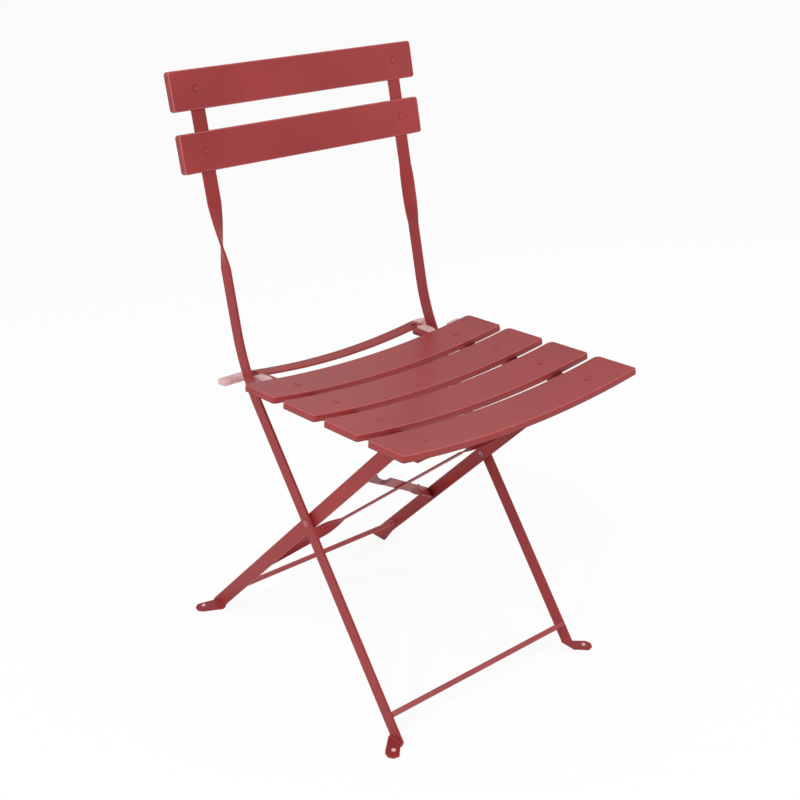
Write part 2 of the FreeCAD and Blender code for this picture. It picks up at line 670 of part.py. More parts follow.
# Guide caps: a sleeve over each tongue, with a pad beside the rail where the upright runs.
def guide_cap(label, side, tongue):
    body = new_body(label, seat_place)
    inner = "(sizes.rail_inner + sizes.rail_width + sizes.cap_fit)"
    outer = "(sizes.%s + sizes.cap_fit + sizes.cap_wall)" % tongue
    tongue_y = "sizes.rail_rear - sizes.tongue_depth / 2"
    mid_z = "sizes.rail_depth - sizes.rail_thick / 2"
    depth = "(sizes.tongue_depth + 2 * (sizes.cap_wall + sizes.cap_fit))"
    height = "(sizes.rail_thick + 2 * (sizes.cap_wall + sizes.cap_fit))"
    around = new_sketch(body, "sleeve_outline", "XY_Plane",
                        {"x": "%d * (%s + %s) / 2" % (side, inner, outer),
                         "y": tongue_y, "z": mid_z})
    centred_rectangle(around, "%s - %s" % (outer, inner), depth)
    sleeve = pad(body, "sleeve", around, height)
    far = size(tongue) + size("cap_fit") + size("cap_wall")
    ends = edges_where(body.Tip.Shape, lambda p: abs(p.x) > far - 0.1 and abs(
        abs(p.y - size("rail_rear") + size("tongue_depth") / 2)
        - size("tongue_depth") / 2 - size("cap_wall") - size("cap_fit")) < 0.1)
    fillet(body, "round_end", sleeve, ends, "%s / 2 - sizes.cap_fit" % depth)
    pad_face = "(%s + sizes.cap_wall)" % inner
    side_pad = new_sketch(body, "side_pad_outline", "XY_Plane",
                          {"x": "%d * (%s + %s) / 2" % (side, inner, pad_face),
                           "y": "sizes.rail_rear - sizes.cap_over / 2", "z": mid_z})
    centred_rectangle(side_pad, "sizes.cap_wall", "sizes.cap_over")
    pad(body, "side_pad", side_pad, height)
    slot = new_sketch(body, "slot_outline", "XY_Plane",
                      {"x": "%d * (sizes.%s + sizes.cap_fit) / 2" % (side, tongue),
                       "y": tongue_y, "z": mid_z})
    centred_rectangle(slot, "sizes.%s + sizes.cap_fit" % tongue,
                      "sizes.tongue_depth + 2 * sizes.cap_fit")
    pocket(body, "slot", slot, "sizes.rail_thick + 2 * sizes.cap_fit")
    return body


guide_cap("right_guide_cap", 1, "right_tongue")
guide_cap("left_guide_cap", -1, "left_tongue")

# Edge bumper: a short strip against the rear lip of the rear slat.
bumper = new_body("edge_bumper", seat_place)
strip_outline = new_sketch(
    bumper, "outline", "XY_Plane",
    {"x": "sizes.bumper_inner + sizes.bumper_length / 2",
     "y": "sizes.rear_slat_y + (sizes.seat_slat_width + sizes.bumper_depth) / 2",
     "z": RISE + " + sizes.bumper_inner ^ 2 / (2 * sizes.seat_slat_radius)"
          " - sizes.slat_edge - sizes.bumper_height / 2"})
centred_rectangle(strip_outline, "sizes.bumper_length", "sizes.bumper_depth")
block = pad(bumper, "strip", strip_outline, "sizes.bumper_height")
rear_y = size("rear_slat_y") + size("seat_slat_width") / 2 + size("bumper_depth")
soft = edges_where(bumper.Tip.Shape, lambda p: abs(p.y - rear_y) < 0.05)
fillet(bumper, "soft_edges", block, soft, "sizes.slat_edge / 2")


# Back slats: pressed pans on the front of the uprights, notched where the uprights pass.
def back_slat(label, reach):
    corner = pivot + back_dir * size("bend_reach")
    rearward = -side_normal(upright_dir)
    face = corner + upright_dir * size(reach) - rearward * half_thick
    place = Place(face, Rot(Vec(1, 0, 0), size("upright_angle") - 90))
    body = new_body(label, place)
    outline = new_sketch(body, "outline", "XZ_Plane",
                         {"z": "sizes.slat_sheet - sizes.back_slat_depth / 2"})
    centred_rectangle(outline, "2 * sizes.slat_half", "sizes.back_slat_height")
    block = pad(body, "block", outline, "sizes.back_slat_depth")
    half_long = size("slat_half")
    half_high = size("back_slat_height") / 2
    front = -size("slat_sheet")
    rear = front + size("back_slat_depth")
    corners = edges_where(body.Tip.Shape, lambda p: abs(p.x) > half_long - 0.1
                          and abs(p.z) > half_high - 0.1)
    rounded = fillet(body, "corners", block, corners, "sizes.back_slat_corner")
    open_side = faces_where(body.Tip.Shape, lambda p: abs(p.y - rear) < 0.01)
    pan = shell(body, "pan", rounded, open_side, "sizes.slat_sheet")
    rim = edges_where(body.Tip.Shape, lambda p: abs(p.y - front) < 0.01)
    bevel(body, "folded_edge", pan, rim, "sizes.slat_edge")
    for side, name in ((1, "right"), (-1, "left")):
        notch = new_sketch(body, name + "_notch_outline", "XZ_Plane",
                           {"x": "%d * sizes.frame_half" % side,
                            "z": "-sizes.back_slat_depth / 2"})
        centred_rectangle(notch, "sizes.bar_width + 2 * sizes.notch_clear",
                          "2 * sizes.back_slat_height")
        pocket(body, name + "_notch", notch, "sizes.back_slat_depth")
    holes = new_sketch(body, "rivet_hole_outline", "XZ_Plane")
    for side in (1, -1):
        circle(holes, "sizes.fix_dia", "%d * sizes.frame_half" % side)
    pocket(body, "rivet_holes", holes, "4 * sizes.slat_sheet")
    return face


faces = [back_slat("top_back_slat", "top_slat_reach"),
         back_slat("lower_back_slat", "lower_slat_reach")]
forward = side_normal(upright_dir)
stack = size("bar_thick") + size("slat_sheet")
back_rivet = rivet(size("fix_dia"), size("fix_head"), size("fix_rise"), stack)
back_pins = []
for face in faces:
    for side in (1, -1):
        base = face - forward * size("bar_thick") + Vec(side * frame_x, 0, 0)
        back_pins.append(placed(back_rivet, base, Rot(Vec(0, 0, 1), forward)))
keep_shape("back_slat_rivets", Part.makeCompound(back_pins))

doc.recompute()
os.makedirs("parts", exist_ok=True)
for obj in doc.Objects:
    if "Invalid" in obj.State or "Error" in obj.State:
        raise RuntimeError("%s is in state %s" % (obj.Name, obj.State))
triangles = 0
for node in nodes:
    shape = node.Shape
    if shape.isNull() or not shape.isValid() or shape.Volume <= 0:
        raise RuntimeError("%s has no valid solid" % node.Label)
    mesh_size = len(shape.tessellate(0.1)[1])
    triangles += mesh_size
    box = shape.BoundBox
    print("%-22s %d solid(s) %6d facets x %.1f %.1f y %.1f %.1f z %.1f %.1f" % (
        node.Label, len(shape.Solids), mesh_size, box.XMin, box.XMax, box.YMin, box.YMax,
        box.ZMin, box.ZMax))
    shape.exportStep("parts/%s.step" % node.Label)
print("nodes", len(nodes), "facets", triangles)
print("front foot hole", front_hole, "rear foot hole", rear_hole)
print("pivot", pivot, "seat pivot", seat_pivot)
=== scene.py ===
import bpy
import json
import math
from mathutils import Matrix, Vector


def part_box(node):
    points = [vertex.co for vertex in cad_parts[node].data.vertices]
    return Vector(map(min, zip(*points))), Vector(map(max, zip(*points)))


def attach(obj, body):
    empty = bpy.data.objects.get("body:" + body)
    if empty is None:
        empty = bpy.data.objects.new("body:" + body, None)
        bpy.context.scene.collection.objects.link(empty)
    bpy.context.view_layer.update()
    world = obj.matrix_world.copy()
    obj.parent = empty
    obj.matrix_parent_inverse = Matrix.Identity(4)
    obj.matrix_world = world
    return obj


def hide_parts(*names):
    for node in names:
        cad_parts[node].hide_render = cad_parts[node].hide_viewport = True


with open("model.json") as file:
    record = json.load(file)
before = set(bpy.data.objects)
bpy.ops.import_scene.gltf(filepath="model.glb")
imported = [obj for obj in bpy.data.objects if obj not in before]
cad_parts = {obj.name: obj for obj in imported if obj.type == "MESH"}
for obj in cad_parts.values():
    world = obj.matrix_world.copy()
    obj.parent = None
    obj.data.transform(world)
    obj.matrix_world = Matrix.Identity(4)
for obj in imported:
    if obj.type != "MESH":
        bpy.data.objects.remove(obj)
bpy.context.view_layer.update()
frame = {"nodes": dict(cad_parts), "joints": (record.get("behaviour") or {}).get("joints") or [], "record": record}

# The camera stands in front of the chair, to its left, and looks down on it. Its place,
# height and lens were fitted to matching points of the chair.
right = Vector((0.7591, -0.6510, 0.0))
back = Vector((-0.5953, -0.6942, 0.4045))
above = back.cross(right)
lens_body = bpy.data.cameras.new("camera")
lens_body.lens = 58.41
lens_body.sensor_width = 36
camera = bpy.data.objects.new("camera", lens_body)
turn = Matrix((right, above, back)).transposed().to_4x4()
camera.matrix_world = Matrix.Translation((-1.07761, -1.26611, 1.11998)) @ turn
bpy.context.scene.collection.objects.link(camera)
bpy.context.scene.camera = camera

# The studio is white: even light from all round, one large soft lamp at the front left, a
# weaker one at the right, and a small one that puts the bright spots on the rivets.
white = bpy.data.worlds.new("studio")
white.use_nodes = True
air = white.node_tree
sky = air.nodes["Background"]
sky.inputs["Color"].default_value = (1.0, 1.0, 1.0, 1.0)
seen = air.nodes.new("ShaderNodeLightPath")
clear_view = air.nodes.new("ShaderNodeMapRange")
clear_view.inputs["To Min"].default_value = 0.72
clear_view.inputs["To Max"].default_value = 1.0
either = air.nodes.new("ShaderNodeMath")
either.operation = "MAXIMUM"
air.links.new(seen.outputs["Is Camera Ray"], either.inputs[0])
air.links.new(seen.outputs["Is Transmission Ray"], either.inputs[1])
air.links.new(either.outputs[0], clear_view.inputs["Value"])
air.links.new(clear_view.outputs["Result"], sky.inputs["Strength"])
bpy.context.scene.world = white
bpy.context.scene.view_settings.view_transform = "Standard"


def softbox(name, place, width, watts):
    lamp = bpy.data.lights.new(name, "AREA")
    lamp.shape = "RECTANGLE"
    lamp.size = width
    lamp.size_y = width * 0.7
    lamp.energy = watts
    holder = bpy.data.objects.new(name, lamp)
    holder.location = place
    under_seat = Vector((0, 0, 0.4))
    holder.rotation_euler = (under_seat - Vector(place)).to_track_quat("-Z", "Y").to_euler()
    bpy.context.scene.collection.objects.link(holder)


softbox("key_softbox", (-1.6, -1.3, 2.6), 1.6, 34)
softbox("fill_softbox", (2.2, -0.6, 1.6), 1.4, 10)
softbox("accent_softbox", (-1.9, -0.5, 1.5), 0.20, 7.0)


# The legs are flat bars of rolled steel. A back leg is front foot, leg, bend and upright in
# one bar, a rear leg is leg and foot. They are welded up first and powder coated brick red.
# Shader maths is written on this class: a socket, and the tree that it belongs to.
class Wire:
    def __init__(self, tree, socket=None):
        self.tree = tree
        self.socket = socket

    def add(self, kind, settings, inputs, out=0):
        made = self.tree.nodes.new(kind)
        for name, value in settings.items():
            if name == "stops":
                ramp = made.color_ramp.elements
                for spot, (position, colour) in enumerate(value):
                    stop = ramp[spot] if spot < len(ramp) else ramp.new(position)
                    stop.position = position
                    stop.color = colour
            else:
                setattr(made, name, value)
        for name, value in inputs.items():
            if isinstance(value, Wire):
                self.tree.links.new(value.socket, made.inputs[name])
            else:
                made.inputs[name].default_value = value
        return Wire(self.tree, made.outputs[out])

    def noise(self, place, scale, detail, roughness):
        return self.add("ShaderNodeTexNoise", {}, {
            "Vector": place, "Scale": scale, "Detail": detail, "Roughness": roughness})

    def maths(self, operation, first, second):
        return self.add("ShaderNodeMath", {"operation": operation}, {0: first, 1: second})

    def __add__(self, other):
        return self.maths("ADD", self, other)

    def __radd__(self, other):
        return self.maths("ADD", other, self)

    def __sub__(self, other):
        return self.maths("SUBTRACT", self, other)

    def __rsub__(self, other):
        return self.maths("SUBTRACT", other, self)

    def __mul__(self, other):
        return self.maths("MULTIPLY", self, other)

    def __rmul__(self, other):
        return self.maths("MULTIPLY", other, self)


def new_material(name):
    material = bpy.data.materials.new(name)
    material.use_nodes = True
    tree = material.node_tree
    tree.nodes.clear()
    return material, Wire(tree)


def finish_material(start, shader_wire):
    end = start.tree.nodes.new("ShaderNodeOutputMaterial")
    start.tree.links.new(shader_wire.socket, end.inputs["Surface"])


# Baked powder has a fine pebbled skin, slow changes of tone where it lies thicker, and
# duller patches. Along the folds a paler line can be mixed in, as a painted highlight.
def powder_coat(name, shade, gloss, pebble, shine, paints_fold_highlight=False):
    material, start = new_material(name)
    place = start.add("ShaderNodeTexCoord", {}, {}, 3)
    clouds = start.noise(place, 9.0, 3.0, 0.55)
    grain = start.noise(place, 620.0, 2.0, 0.5)
    specks = start.noise(place, 170.0, 4.0, 0.65)
    thick = [c * 0.86 for c in shade] + [1.0]
    thin = [min(1.0, c * 1.13) for c in shade] + [1.0]
    colour = start.add("ShaderNodeValToRGB", {"stops": (
        (0.30, thick), (0.52, [*shade, 1.0]), (0.74, thin))}, {"Fac": clouds * 0.8 + specks * 0.2})
    roughness = gloss + (clouds - 0.5) * 0.16 + (specks - 0.5) * 0.10
    # Along the folds the colour is mixed towards a paler tint: a painted highlight.
    if paints_fold_highlight:
        fold = start.add("ShaderNodeAttribute", {"attribute_name": "fold_edge"}, {}, 2)
        pale = [min(1.0, c * 1.5 + 0.10) for c in shade] + [1.0]
        colour = start.add("ShaderNodeMix", {"data_type": "RGBA"}, {
            0: fold * (0.20 + specks * 0.5), 6: colour, 7: pale}, 2)
    relief = start.add("ShaderNodeBump", {}, {
        "Strength": 0.35, "Distance": pebble, "Height": grain + specks * 0.6})
    coat = start.add("ShaderNodeBsdfPrincipled", {}, {
        "Base Color": colour, "Roughness": roughness, "Normal": relief,
        "IOR": 1.5, "Specular IOR Level": shine})
    finish_material(start, coat)
    return material


def paint_node(name, material):
    piece = frame["nodes"][name]
    piece.data.materials.clear()
    piece.data.materials.append(material)
    return piece


def ease_edges(piece, width):
    weld = piece.modifiers.new("join_faces", "WELD")
    weld.merge_threshold = 0.00001
    merge = piece.modifiers.new("whole_faces", "DECIMATE")
    merge.decimate_type = "DISSOLVE"
    merge.angle_limit = math.radians(0.6)
    soft = piece.modifiers.new("rolled_edges", "BEVEL")
    soft.width = width
    soft.segments = 2
    soft.limit_method = "ANGLE"
    soft.angle_limit = math.radians(35)
    flat = piece.modifiers.new("flat_faces", "WEIGHTED_NORMAL")
    flat.weight = 50


frame_red = powder_coat("frame_powder_coat", (0.290, 0.032, 0.033), 0.42, 0.00010, 0.20)
for leg in ("right_back_leg", "left_back_leg", "right_rear_leg", "left_rear_leg"):
    ease_edges(paint_node(leg, frame_red), 0.0005)

# Stretcher rods are round steel, one between the front legs and one between the rear legs.
# Each end is welded to the inner face of a leg, with a small bead round it.
millimetres = Matrix.Scale(0.001, 4)
crossways = Matrix.Rotation(math.pi / 2, 4, "Y")
# The rods carry the frame's red, painted lighter as a stand-in for the highlights along them.
rod_red_painted_lighter = powder_coat("rod_coat_painted_lighter", (0.34, 0.046, 0.048), 0.27, 0.00006, 0.55)
rod_radius = 4.0
weld_gap = 0.05
bead = ((5.3, 0.0), (5.4, 0.7), (4.9, 1.6), (4.3, 2.3), (rod_radius, 3.4))


def turned(points, faces, profile, place):
    around = 40
    first = len(points)
    for radius, height in profile:
        for i in range(around):
            a = 2 * math.pi * i / around
            points.append(place @ Vector((radius * math.cos(a), radius * math.sin(a), height)))
    for ring in range(len(profile) - 1):
        low = first + ring * around
        for i in range(around):
            k = (i + 1) % around
            faces.append((low + i, low + k, low + around + k, low + around + i))
    last = first + (len(profile) - 1) * around
    faces.append([last + i for i in range(around)])
    faces.append([first + i for i in reversed(range(around))])


def mesh_piece(name, points, faces, material, body, stands_for=None, crease=50):
    mesh = bpy.data.meshes.new(name)
    mesh.from_pydata(points, [], faces)
    mesh.update()
    mesh.shade_smooth()
    if crease:
        mesh.set_sharp_from_angle(angle=math.radians(crease))
    mesh.materials.append(material)
    piece = bpy.data.objects.new(name, mesh)
    bpy.context.scene.collection.objects.link(piece)
    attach(piece, body)
    if stands_for:
        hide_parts(stands_for)
    return piece


for label, body in (("front", "back_frame"), ("rear", "rear_legs")):
    low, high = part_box(label + "_stretcher_rod")
    half = high.x * 1000 - weld_gap
    profile = [(r, h - half) for r, h in bead] + [(r, half - h) for r, h in reversed(bead)]
    points = []
    faces = []
    place = Matrix.Translation((low + high) / 2) @ crossways @ millimetres
    turned(points, faces, profile, place)
    mesh_piece("welded_%s_rod" % label, points, faces, rod_red_painted_lighter, body,
               label + "_stretcher_rod")

# The rear brace is two flat straps that cross, each twisted a quarter turn near its ends
# so that it lies flat on the legs, where it is welded.
for strap in ("lower_brace_strap", "upper_brace_strap"):
    ease_edges(paint_node(strap, frame_red), 0.0003)

# Seat rails are steel angles under the slats, cut back at the front. A tongue at the rear end
# of each reaches out behind the upright. Sizes are measured from the seat pivot.
joint = {hinge["name"]: Vector(hinge["pos_m"]) for hinge in frame["joints"]}
seat_slope = math.radians(2.63)
seat_place = (Matrix.Translation(joint["seat_pivot"])
              @ Matrix.Rotation(-seat_slope, 4, "X") @ millimetres)
rail_inner = 134
rail_outer = 156
rail_top = 10
rail_sheet = 2.5
rail_end = 325.5
rail_feet = ((-60, 6.5), (-52, 1.5), (-38, -8.0), (rail_end, -8.0))
tongue_front = 314


# Rings are corners in order round a section, anticlockwise when seen from where they start.
def loft(points, faces, rings, place):
    first = len(points)
    around = len(rings[0])
    for ring in rings:
        points.extend(place @ Vector(corner) for corner in ring)
    for step in range(len(rings) - 1):
        low = first + step * around
        for i in range(around):
            k = (i + 1) % around
            faces.append((low + i, low + around + i, low + around + k, low + k))
    last = first + (len(rings) - 1) * around
    faces.append([first + i for i in range(around)])
    faces.append([last + i for i in reversed(range(around))])


for side, label, reach in ((1, "right", 176), (-1, "left", 197)):
    points = []
    faces = []
    under = rail_top - rail_sheet
    rings = []
    for y, foot in rail_feet:
        section = ((rail_inner, rail_top), (rail_inner, under), (rail_outer - rail_sheet, under),
                   (rail_outer - rail_sheet, foot), (rail_outer, foot), (rail_outer, rail_top))
        rings.append([(side * x, y, z) for x, z in section[::side]])
    loft(points, faces, rings, seat_place)
    near, far = sorted((side * (rail_outer - 0.5), side * reach))
    loft(points, faces, [
        [(near, y, under), (far, y, under), (far, y, rail_top), (near, y, rail_top)]
        for y in (tongue_front, rail_end)], seat_place)
    rail = mesh_piece("angle_%s_rail" % label, points, faces, frame_red, "seat",
                      label + "_seat_rail")
    ease_edges(rail, 0.0004)

# The rear crossbar is a flat bar that sags between the rails as the slats do. It lies on
# both rails and is riveted to them.
crossbar_radius = 1020
crossbar_half = 154.4
crossbar_sheet = 3
crossbar_front = 304.5
crossbar_rear = 327.5
crossbar_steps = 32
points = []
faces = []
rings = []
for i in range(crossbar_steps + 1):
    x = -crossbar_half + 2 * crossbar_half * i / crossbar_steps
    top = rail_top + crossbar_sheet - (math.sqrt(crossbar_radius ** 2 - x * x)
                                       - math.sqrt(crossbar_radius ** 2 - crossbar_half ** 2))
    under = top - crossbar_sheet
    rings.append([(x, crossbar_front, under), (x, crossbar_front, top),
                  (x, crossbar_rear, top), (x, crossbar_rear, under)])
loft(points, faces, rings, seat_place)
crossbar = mesh_piece("flat_crossbar", points, faces, frame_red, "seat",
                      "rear_crossbar")
ease_edges(crossbar, 0.0004)

# Seat slats are pressed from 1.2 mm sheet and dished together. The lip is bent down all
# round, the rear corners are rounder, and the rivets stand in shallow round hollows. Their
# coat carries a painted highlight, a paler line along the folds.
slat_red = powder_coat("slat_powder_coat", (0.305, 0.036, 0.037), 0.38, 0.00007, 0.26,
                       paints_fold_highlight=True)
slat_half = 205
slat_sheet = 1.2
slat_lip = 9
slat_rest = 0.1
dish_radius = 1420
slat_top = rail_top + slat_lip + slat_rest - rail_inner ** 2 / (2 * dish_radius)
seat_rivet_x = 143.2
seat_hollow = 0.8
hollow_floor = 4.0
hollow_slope = 2.8
rear_overhang = 3.4
seat_half_wide = 31.5 + rear_overhang
rear_row = 217.2
row_pitch = 85.8
seat_rows = {label: rear_row - row_pitch * i
             for i, label in enumerate(("rear", "second", "third", "front"))}


# Grid lines lie close together at the folds and round the rivets, and wide apart elsewhere.
def stations(half, fold, spots, step):
    near = [fold * (1 - math.cos(math.radians(a))) for a in range(0, 91, 10)]
    near += [fold + 0.4, fold + 0.8, fold + 1.3, fold + 2.0, fold + 3.6]
    marks = set()
    for distance in near:
        marks.update((round(half - distance, 4), round(distance - half, 4)))
    inside = half - fold - 5.0
    count = max(2, math.ceil(2 * inside / step))
    marks.update(round(-inside + 2 * inside * i / count, 4) for i in range(count + 1))
    for spot in spots:
        marks.update(round(spot + 0.9 * i, 4) for i in range(-12, 13))
    ordered = sorted(marks)
    kept = [ordered[0]]
    for mark in ordered[1:]:
        if mark - kept[-1] > 0.3 or half - abs(mark) < fold + 0.1:
            kept.append(mark)
    return kept


def pressed_slat(name, stands_for, body, place, half_wide, corners, fold, depth, radius,
                 rivets, rivet_y, hollow, notch):
    columns = stations(slat_half, fold, rivets, 5.0)
    rows = stations(half_wide, fold, [rivet_y], 3.0)
    points = []
    fold_edge = []
    for x in columns:
        lean = math.asin(x / radius) if radius else 0.0
        rise = radius - math.sqrt(radius * radius - x * x) if radius else 0.0
        for v in rows:
            corner = corners[v > 0]
            over_x = abs(x) - (slat_half - corner)
            past = max(0.0, over_x)
            wide = half_wide - corner + math.sqrt(max(0.0, corner * corner - past * past))
            y = v / half_wide * wide
            over_y = abs(y) - (half_wide - corner)
            inward = (corner - math.hypot(max(over_x, 0), max(over_y, 0))
                      - min(max(over_x, over_y), 0))
            low = min(max(fold - inward, 0.0), fold)
            drop = fold - math.sqrt(fold * fold - low * low)
            for spot in rivets:
                away = (math.hypot(x - spot, y - rivet_y) - hollow_floor) / hollow_slope
                away = min(max(away, 0.0), 1.0)
                drop += hollow * (1 - away * away * (3 - 2 * away))
            points.append((x + drop * math.sin(lean), y, rise - drop * math.cos(lean), lean))
            # Points on the rounding of the fold are marked for the painted highlight.
            fold_edge.append(1.0 if 0.1 < low / fold < 0.97 else 0.0)
    tall = len(rows)
    long = len(columns)
    faces = []
    for i in range(long - 1):
        for j in range(tall - 1):
            a = i * tall + j
            faces.append((a, a + tall, a + tall + 1, a + 1))
    rim = [i * tall for i in range(long)]
    rim += [(long - 1) * tall + j for j in range(1, tall)]
    rim += [i * tall + tall - 1 for i in range(long - 2, -1, -1)]
    rim += [j for j in range(tall - 2, 0, -1)]
    upper = rim
    for level in (0.5, 1.0):
        lower = []
        for corner_point in rim:
            x, y, z, lean = points[corner_point]
            down = (depth - fold) * level
            lower.append(len(points))
            points.append((x + down * math.sin(lean), y, z - down * math.cos(lean), lean))
        for i in range(len(rim)):
            k = (i + 1) % len(rim)
            ends = (points[rim[i]][0], points[rim[k]][0])
            if notch and all(abs(abs(x) - notch[0]) < notch[1] for x in ends):
                continue
            faces.append((upper[i], lower[i], lower[k], upper[k]))
        upper = lower
    piece = mesh_piece(name, [place @ Vector(p[:3]) for p in points], faces, slat_red, body,
                       stands_for, crease=None)
    # The marks go onto the mesh, where the coat paints the highlight as a paler line.
    fold_edge += [0.0] * (len(points) - len(fold_edge))
    pale_edge = piece.data.attributes.new("fold_edge", "FLOAT", "POINT")
    pale_edge.data.foreach_set("value", fold_edge)
    wall = piece.modifiers.new("sheet", "SOLIDIFY")
    wall.thickness = slat_sheet / 1000
    wall.offset = -1
    wall.use_even_offset = True


for label, row in seat_rows.items():
    place = seat_place @ Matrix.Translation((0, row + rear_overhang, slat_top))
    pressed_slat("pressed_seat_slat_" + label, "seat_slat_" + label, "seat", place,
                 seat_half_wide, corners=(3.2, 8.5), fold=1.3, depth=slat_lip,
                 radius=dish_radius, rivets=(seat_rivet_x, -seat_rivet_x),
                 rivet_y=-rear_overhang, hollow=seat_hollow, notch=None)

# Back slats are the same pressing, straight and narrower. Their lips are notched where the
# uprights pass, and they are riveted to the front of the uprights.
crossing = joint["leg_crossing"] * 1000
leg_slope = math.radians(53.1)
upright_slope = math.radians(77.5)
bend_reach = 227.3
bar_middle = 167.7
half_bar = 1.75
back_half_wide = 26
back_hollow = 1.0
back_lip = 10
upright = Vector((0, math.cos(upright_slope), math.sin(upright_slope)))
forward = Vector((0, -upright.z, upright.y))
bend = crossing + bend_reach * Vector((0, math.cos(leg_slope), math.sin(leg_slope)))
back_axes = Matrix(((1, 0, 0), upright, forward)).transposed().to_4x4()
back_faces = {}
for label, reach in (("top", 379), ("lower", 298.5)):
    face = bend + upright * reach + forward * half_bar
    back_faces[label] = face
    place = (millimetres @ Matrix.Translation(face + forward * (slat_sheet + back_hollow))
             @ back_axes)
    pressed_slat("pressed_back_slat_" + label, label + "_back_slat", "back_frame", place,
                 back_half_wide, corners=(4.5, 4.5), fold=1.6, depth=back_lip + back_hollow,
                 radius=0, rivets=(bar_middle, -bar_middle), rivet_y=0.0,
                 hollow=back_hollow, notch=(bar_middle, 11.5))

# Slat and crossbar rivets are domed steel heads, set by a press. They are coated with the
# chair and a little glossier, where the powder has flowed round them.
rivet_red = powder_coat("rivet_powder_coat", (0.29, 0.034, 0.035), 0.25, 0.00004, 0.40)
rivet_radius = 3.9
shank = 2.5
sunk = 0.2
seat_grip = 12.0
back_grip = slat_sheet + 2 * half_bar
crossbar_grip = crossbar_sheet + rail_sheet
crossbar_rivet_x = 145.5
crossbar_rivet_y = 315


def dome(radius, rise, base):
    profile = [(radius * 0.96, base), (radius, base + 0.25)]
    for a in range(0, 89, 11):
        angle = math.radians(a)
        profile.append((radius * math.cos(angle), base + 0.35 + (rise - 0.35) * math.sin(angle)))
    return profile


def closing(radius, rise, top):
    return [(radius * math.sin(math.radians(a)), top - rise * math.cos(math.radians(a)))
            for a in range(10, 91, 16)]


def pin(radius, depth):
    return [(radius, -depth), (radius, sunk)]


def rivet_group(name, places, profiles, body, stands_for, paint):
    points = []
    faces = []
    for place in places:
        for profile in profiles:
            turned(points, faces, profile, place)
    mesh_piece(name, points, faces, paint, body, stands_for)


lean = math.asin(seat_rivet_x / dish_radius)
places = []
for row in seat_rows.values():
    for side in (1, -1):
        up = Vector((-side * math.sin(lean), 0, math.cos(lean)))
        spot = Vector((0, row, slat_top + dish_radius)) - up * (dish_radius + seat_hollow)
        places.append(seat_place @ Matrix.Translation(spot)
                      @ Matrix.Rotation(-side * lean, 4, "Y"))
rivet_group("domed_seat_rivets", places, [
    dome(rivet_radius, 1.5, 0.0), pin(shank, seat_grip - seat_hollow)],
    "seat", "seat_slat_rivets", rivet_red)
places = [millimetres @ Matrix.Translation(
    face + forward * slat_sheet + Vector((side * bar_middle, 0, 0))) @ back_axes
    for face in back_faces.values() for side in (1, -1)]
rivet_group("domed_back_rivets", places, [
    dome(rivet_radius, 1.9, 0.0), pin(shank, back_grip + 0.1), closing(4.2, 1.4, -back_grip)],
    "back_frame", "back_slat_rivets", rivet_red)
places = [seat_place @ Matrix.Translation(
    (side * crossbar_rivet_x, crossbar_rivet_y, rail_top + crossbar_sheet)) for side in (1, -1)]
rivet_group("domed_crossbar_rivets", places, [
    dome(4.2, 1.9, 0.0), pin(shank, crossbar_grip + 0.1)],
    "seat", "crossbar_rivets", rivet_red)

# The crossing pivots and the seat pivots turn on larger rivets, whose heads are rubbed
# glossy. Painted steel washers keep the bars apart.
pivot_red = powder_coat("pivot_powder_coat", (0.32, 0.044, 0.046), 0.08, 0.00001, 1.0)
pivot_shank = 3.0
pivot_grip = 10.3
for side, label in ((1, "right"), (-1, "left")):
    outside = crossing + Vector((side * (bar_middle + half_bar), 0, 0))
    place = (millimetres @ Matrix.Translation(outside)
             @ Matrix.Rotation(side * math.pi / 2, 4, "Y"))
    rivet_group("domed_%s_pivot_rivet" % label, [place], [
        dome(5.4, 2.8, 0.0), pin(pivot_shank, pivot_grip + 0.05),
        closing(5.0, 1.5, -pivot_grip)], "back_frame", label + "_pivot_rivet", pivot_red)
paint_node("seat_pivot_rivets", pivot_red)
for washer in ("pivot_washers", "seat_pivot_washers"):
    paint_node(washer, frame_red)


# Guide caps are milky plastic, pushed over the rails' tongues, with a pad along the top of
# each rail. The steel shows through them as a pink tint.
def milky_plastic(name, cover, deep, pale):
    material, start = new_material(name)
    place = start.add("ShaderNodeTexCoord", {}, {}, 3)
    haze = start.noise(place, 60.0, 3.0, 0.5)
    skin = start.noise(place, 900.0, 2.0, 0.5)
    colour = start.add("ShaderNodeValToRGB", {"stops": (
        (0.3, (*deep, 1.0)), (0.7, (*pale, 1.0)))}, {"Fac": haze})
    relief = start.add("ShaderNodeBump", {}, {
        "Strength": 0.25, "Distance": 0.00008, "Height": skin})
    body = start.add("ShaderNodeBsdfPrincipled", {}, {
        "Base Color": colour, "Roughness": 0.20 + haze * 0.2, "Normal": relief,
        "IOR": 1.48, "Alpha": cover, "Subsurface Weight": 0.25, "Subsurface Scale": 0.004})
    finish_material(start, body)
    return material


def soft_ring(x, middle, half_deep, level, half_tall, count, squareness):
    ring = []
    for i in range(count):
        a = -2 * math.pi * i / count
        along = math.copysign(abs(math.cos(a)) ** squareness, math.cos(a))
        over = math.copysign(abs(math.sin(a)) ** squareness, math.sin(a))
        ring.append((x, middle + half_deep * along, level + half_tall * over))
    return ring


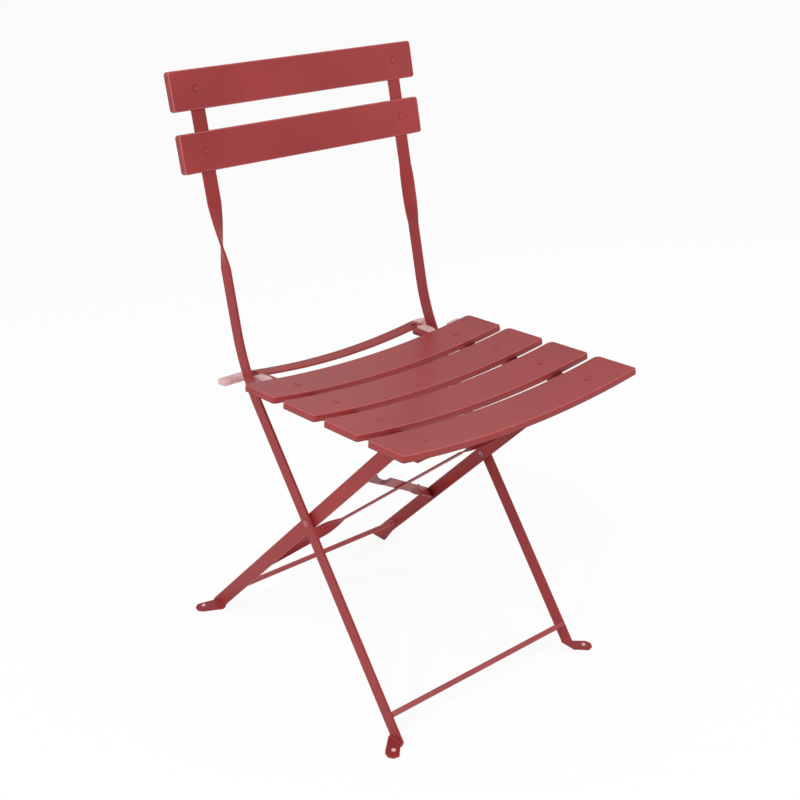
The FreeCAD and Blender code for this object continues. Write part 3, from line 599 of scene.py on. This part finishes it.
milky = milky_plastic("milky_guide_plastic", 0.80, (0.62, 0.36, 0.36), (0.78, 0.53, 0.52))
sleeve_middle = 321.6
sleeve_level = 8.75
sleeve_half_deep = 9.2
sleeve_half_tall = 4.6
pad_under = rail_top + 0.05
pad_inside = rail_outer + 0.1
pad_outside = rail_outer + 1.2
pad_foot = 3.0
for side, label, reach in ((1, "right", 178.0), (-1, "left", 199.0)):
    points = []
    faces = []
    sleeve = ((157.6, 0.75), (158.4, 0.93), (160.0, 1.0), (reach - 5.5, 1.0),
              (reach - 3.0, 0.96), (reach - 1.2, 0.84), (reach, 0.60))
    loft(points, faces, [
        soft_ring(side * x, sleeve_middle, sleeve_half_deep * part, sleeve_level,
                  sleeve_half_tall * part, 28, 0.55)[::side] for x, part in sleeve], seat_place)
    rings = []
    for y, edge, top in ((258.0, 146.0, 10.6), (266.0, 143.0, 10.65), (276.5, 141.8, 10.65),
                         (278.5, 141.4, 11.8), (281.5, 141.2, 12.7), (286.0, 141.2, 13.0),
                         (294.0, 141.6, 13.0), (301.5, 142.4, 12.8), (304.0, 144.0, 12.0)):
        section = (
            (edge, pad_under), (pad_inside, pad_under), (pad_inside, pad_foot),
            (pad_outside, pad_foot), (pad_outside, top - 1.6), (pad_outside - 0.5, top - 0.4),
            (pad_outside - 1.8, top), (edge + 1.6, top), (edge + 0.4, top - 0.5))
        rings.append([(side * x, y, z) for x, z in section[::side]])
    loft(points, faces, rings, seat_place)
    mesh_piece("milky_%s_cap" % label, points, faces, milky, "seat",
               label + "_guide_cap")

# The edge bumper is a short strip of the same plastic. It is pressed on under the rear
# slat's edge, near its right end.
bumper = ((166.5, 0.55), (167.2, 0.9), (168.5, 1.0), (187, 1.0), (188.3, 0.9), (189, 0.55))
bumper_middle = 256.8
bumper_below = 3.6
bumper_half_deep = 6.4
bumper_half_tall = 3.2
points = []
faces = []
rings = []
for x, part in bumper:
    slat_level = slat_top + dish_radius - math.sqrt(dish_radius ** 2 - x * x)
    rings.append(soft_ring(x, bumper_middle, bumper_half_deep * part,
                           slat_level - bumper_below, bumper_half_tall * part, 20, 0.6))
loft(points, faces, rings, seat_place)
mesh_piece("milky_edge_bumper", points, faces, milky, "seat", "edge_bumper")

# The holes of the feet are closed by four alike studs of milky plastic, pushed in from above.
# They are cloudier than the caps, so the steel doesn't show through.
stud_plastic = milky_plastic("milky_stud_plastic", 1.0, (0.58, 0.36, 0.35), (0.72, 0.50, 0.49))
foot_thick = 2 * half_bar
holes = next(mount for mount in frame["record"]["mounts"] if mount["name"] == "foot_holes")
hole_x = holes["dims"]["spacing_x_mm"] / 2
hole_y = holes["dims"]["spacing_y_mm"] / 2
for name, body, end in (("front_foot_studs", "back_frame", -1),
                        ("rear_foot_studs", "rear_legs", 1)):
    points = []
    faces = []
    for side in (1, -1):
        place = (Matrix.Translation(holes["pos_m"]) @ millimetres
                 @ Matrix.Translation((side * hole_x, end * hole_y, 0)))
        turned(points, faces, dome(3.1, 3.1, foot_thick), place)
        turned(points, faces, [(2.6, 0.3), (2.7, 0.8), (2.7, foot_thick + sunk)], place)
    mesh_piece(name, points, faces, stud_plastic, body)

# The studio floor is a wide sheet of white paper, laid flat. It takes the chair's soft shadow
# and nothing else.
wide = 9
sheet = bpy.data.meshes.new("paper_floor")
sheet.from_pydata([(-wide, -wide, 0), (wide, -wide, 0), (wide, wide, 0), (-wide, wide, 0)],
                  [], [(0, 1, 2, 3)])
floor = bpy.data.objects.new("paper_floor", sheet)
bpy.context.scene.collection.objects.link(floor)
paper, start = new_material("white_paper")
matt = start.add("ShaderNodeBsdfDiffuse", {}, {"Color": (0.93, 0.93, 0.93, 1.0)})
glow = start.add("ShaderNodeEmission", {}, {"Color": (1.0, 1.0, 1.0, 1.0), "Strength": 1.0})
ray = start.add("ShaderNodeLightPath", {}, {}, 0)
finish_material(start, start.add("ShaderNodeMixShader", {}, {0: ray * 0.87, 1: matt, 2: glow}))
sheet.materials.append(paper)
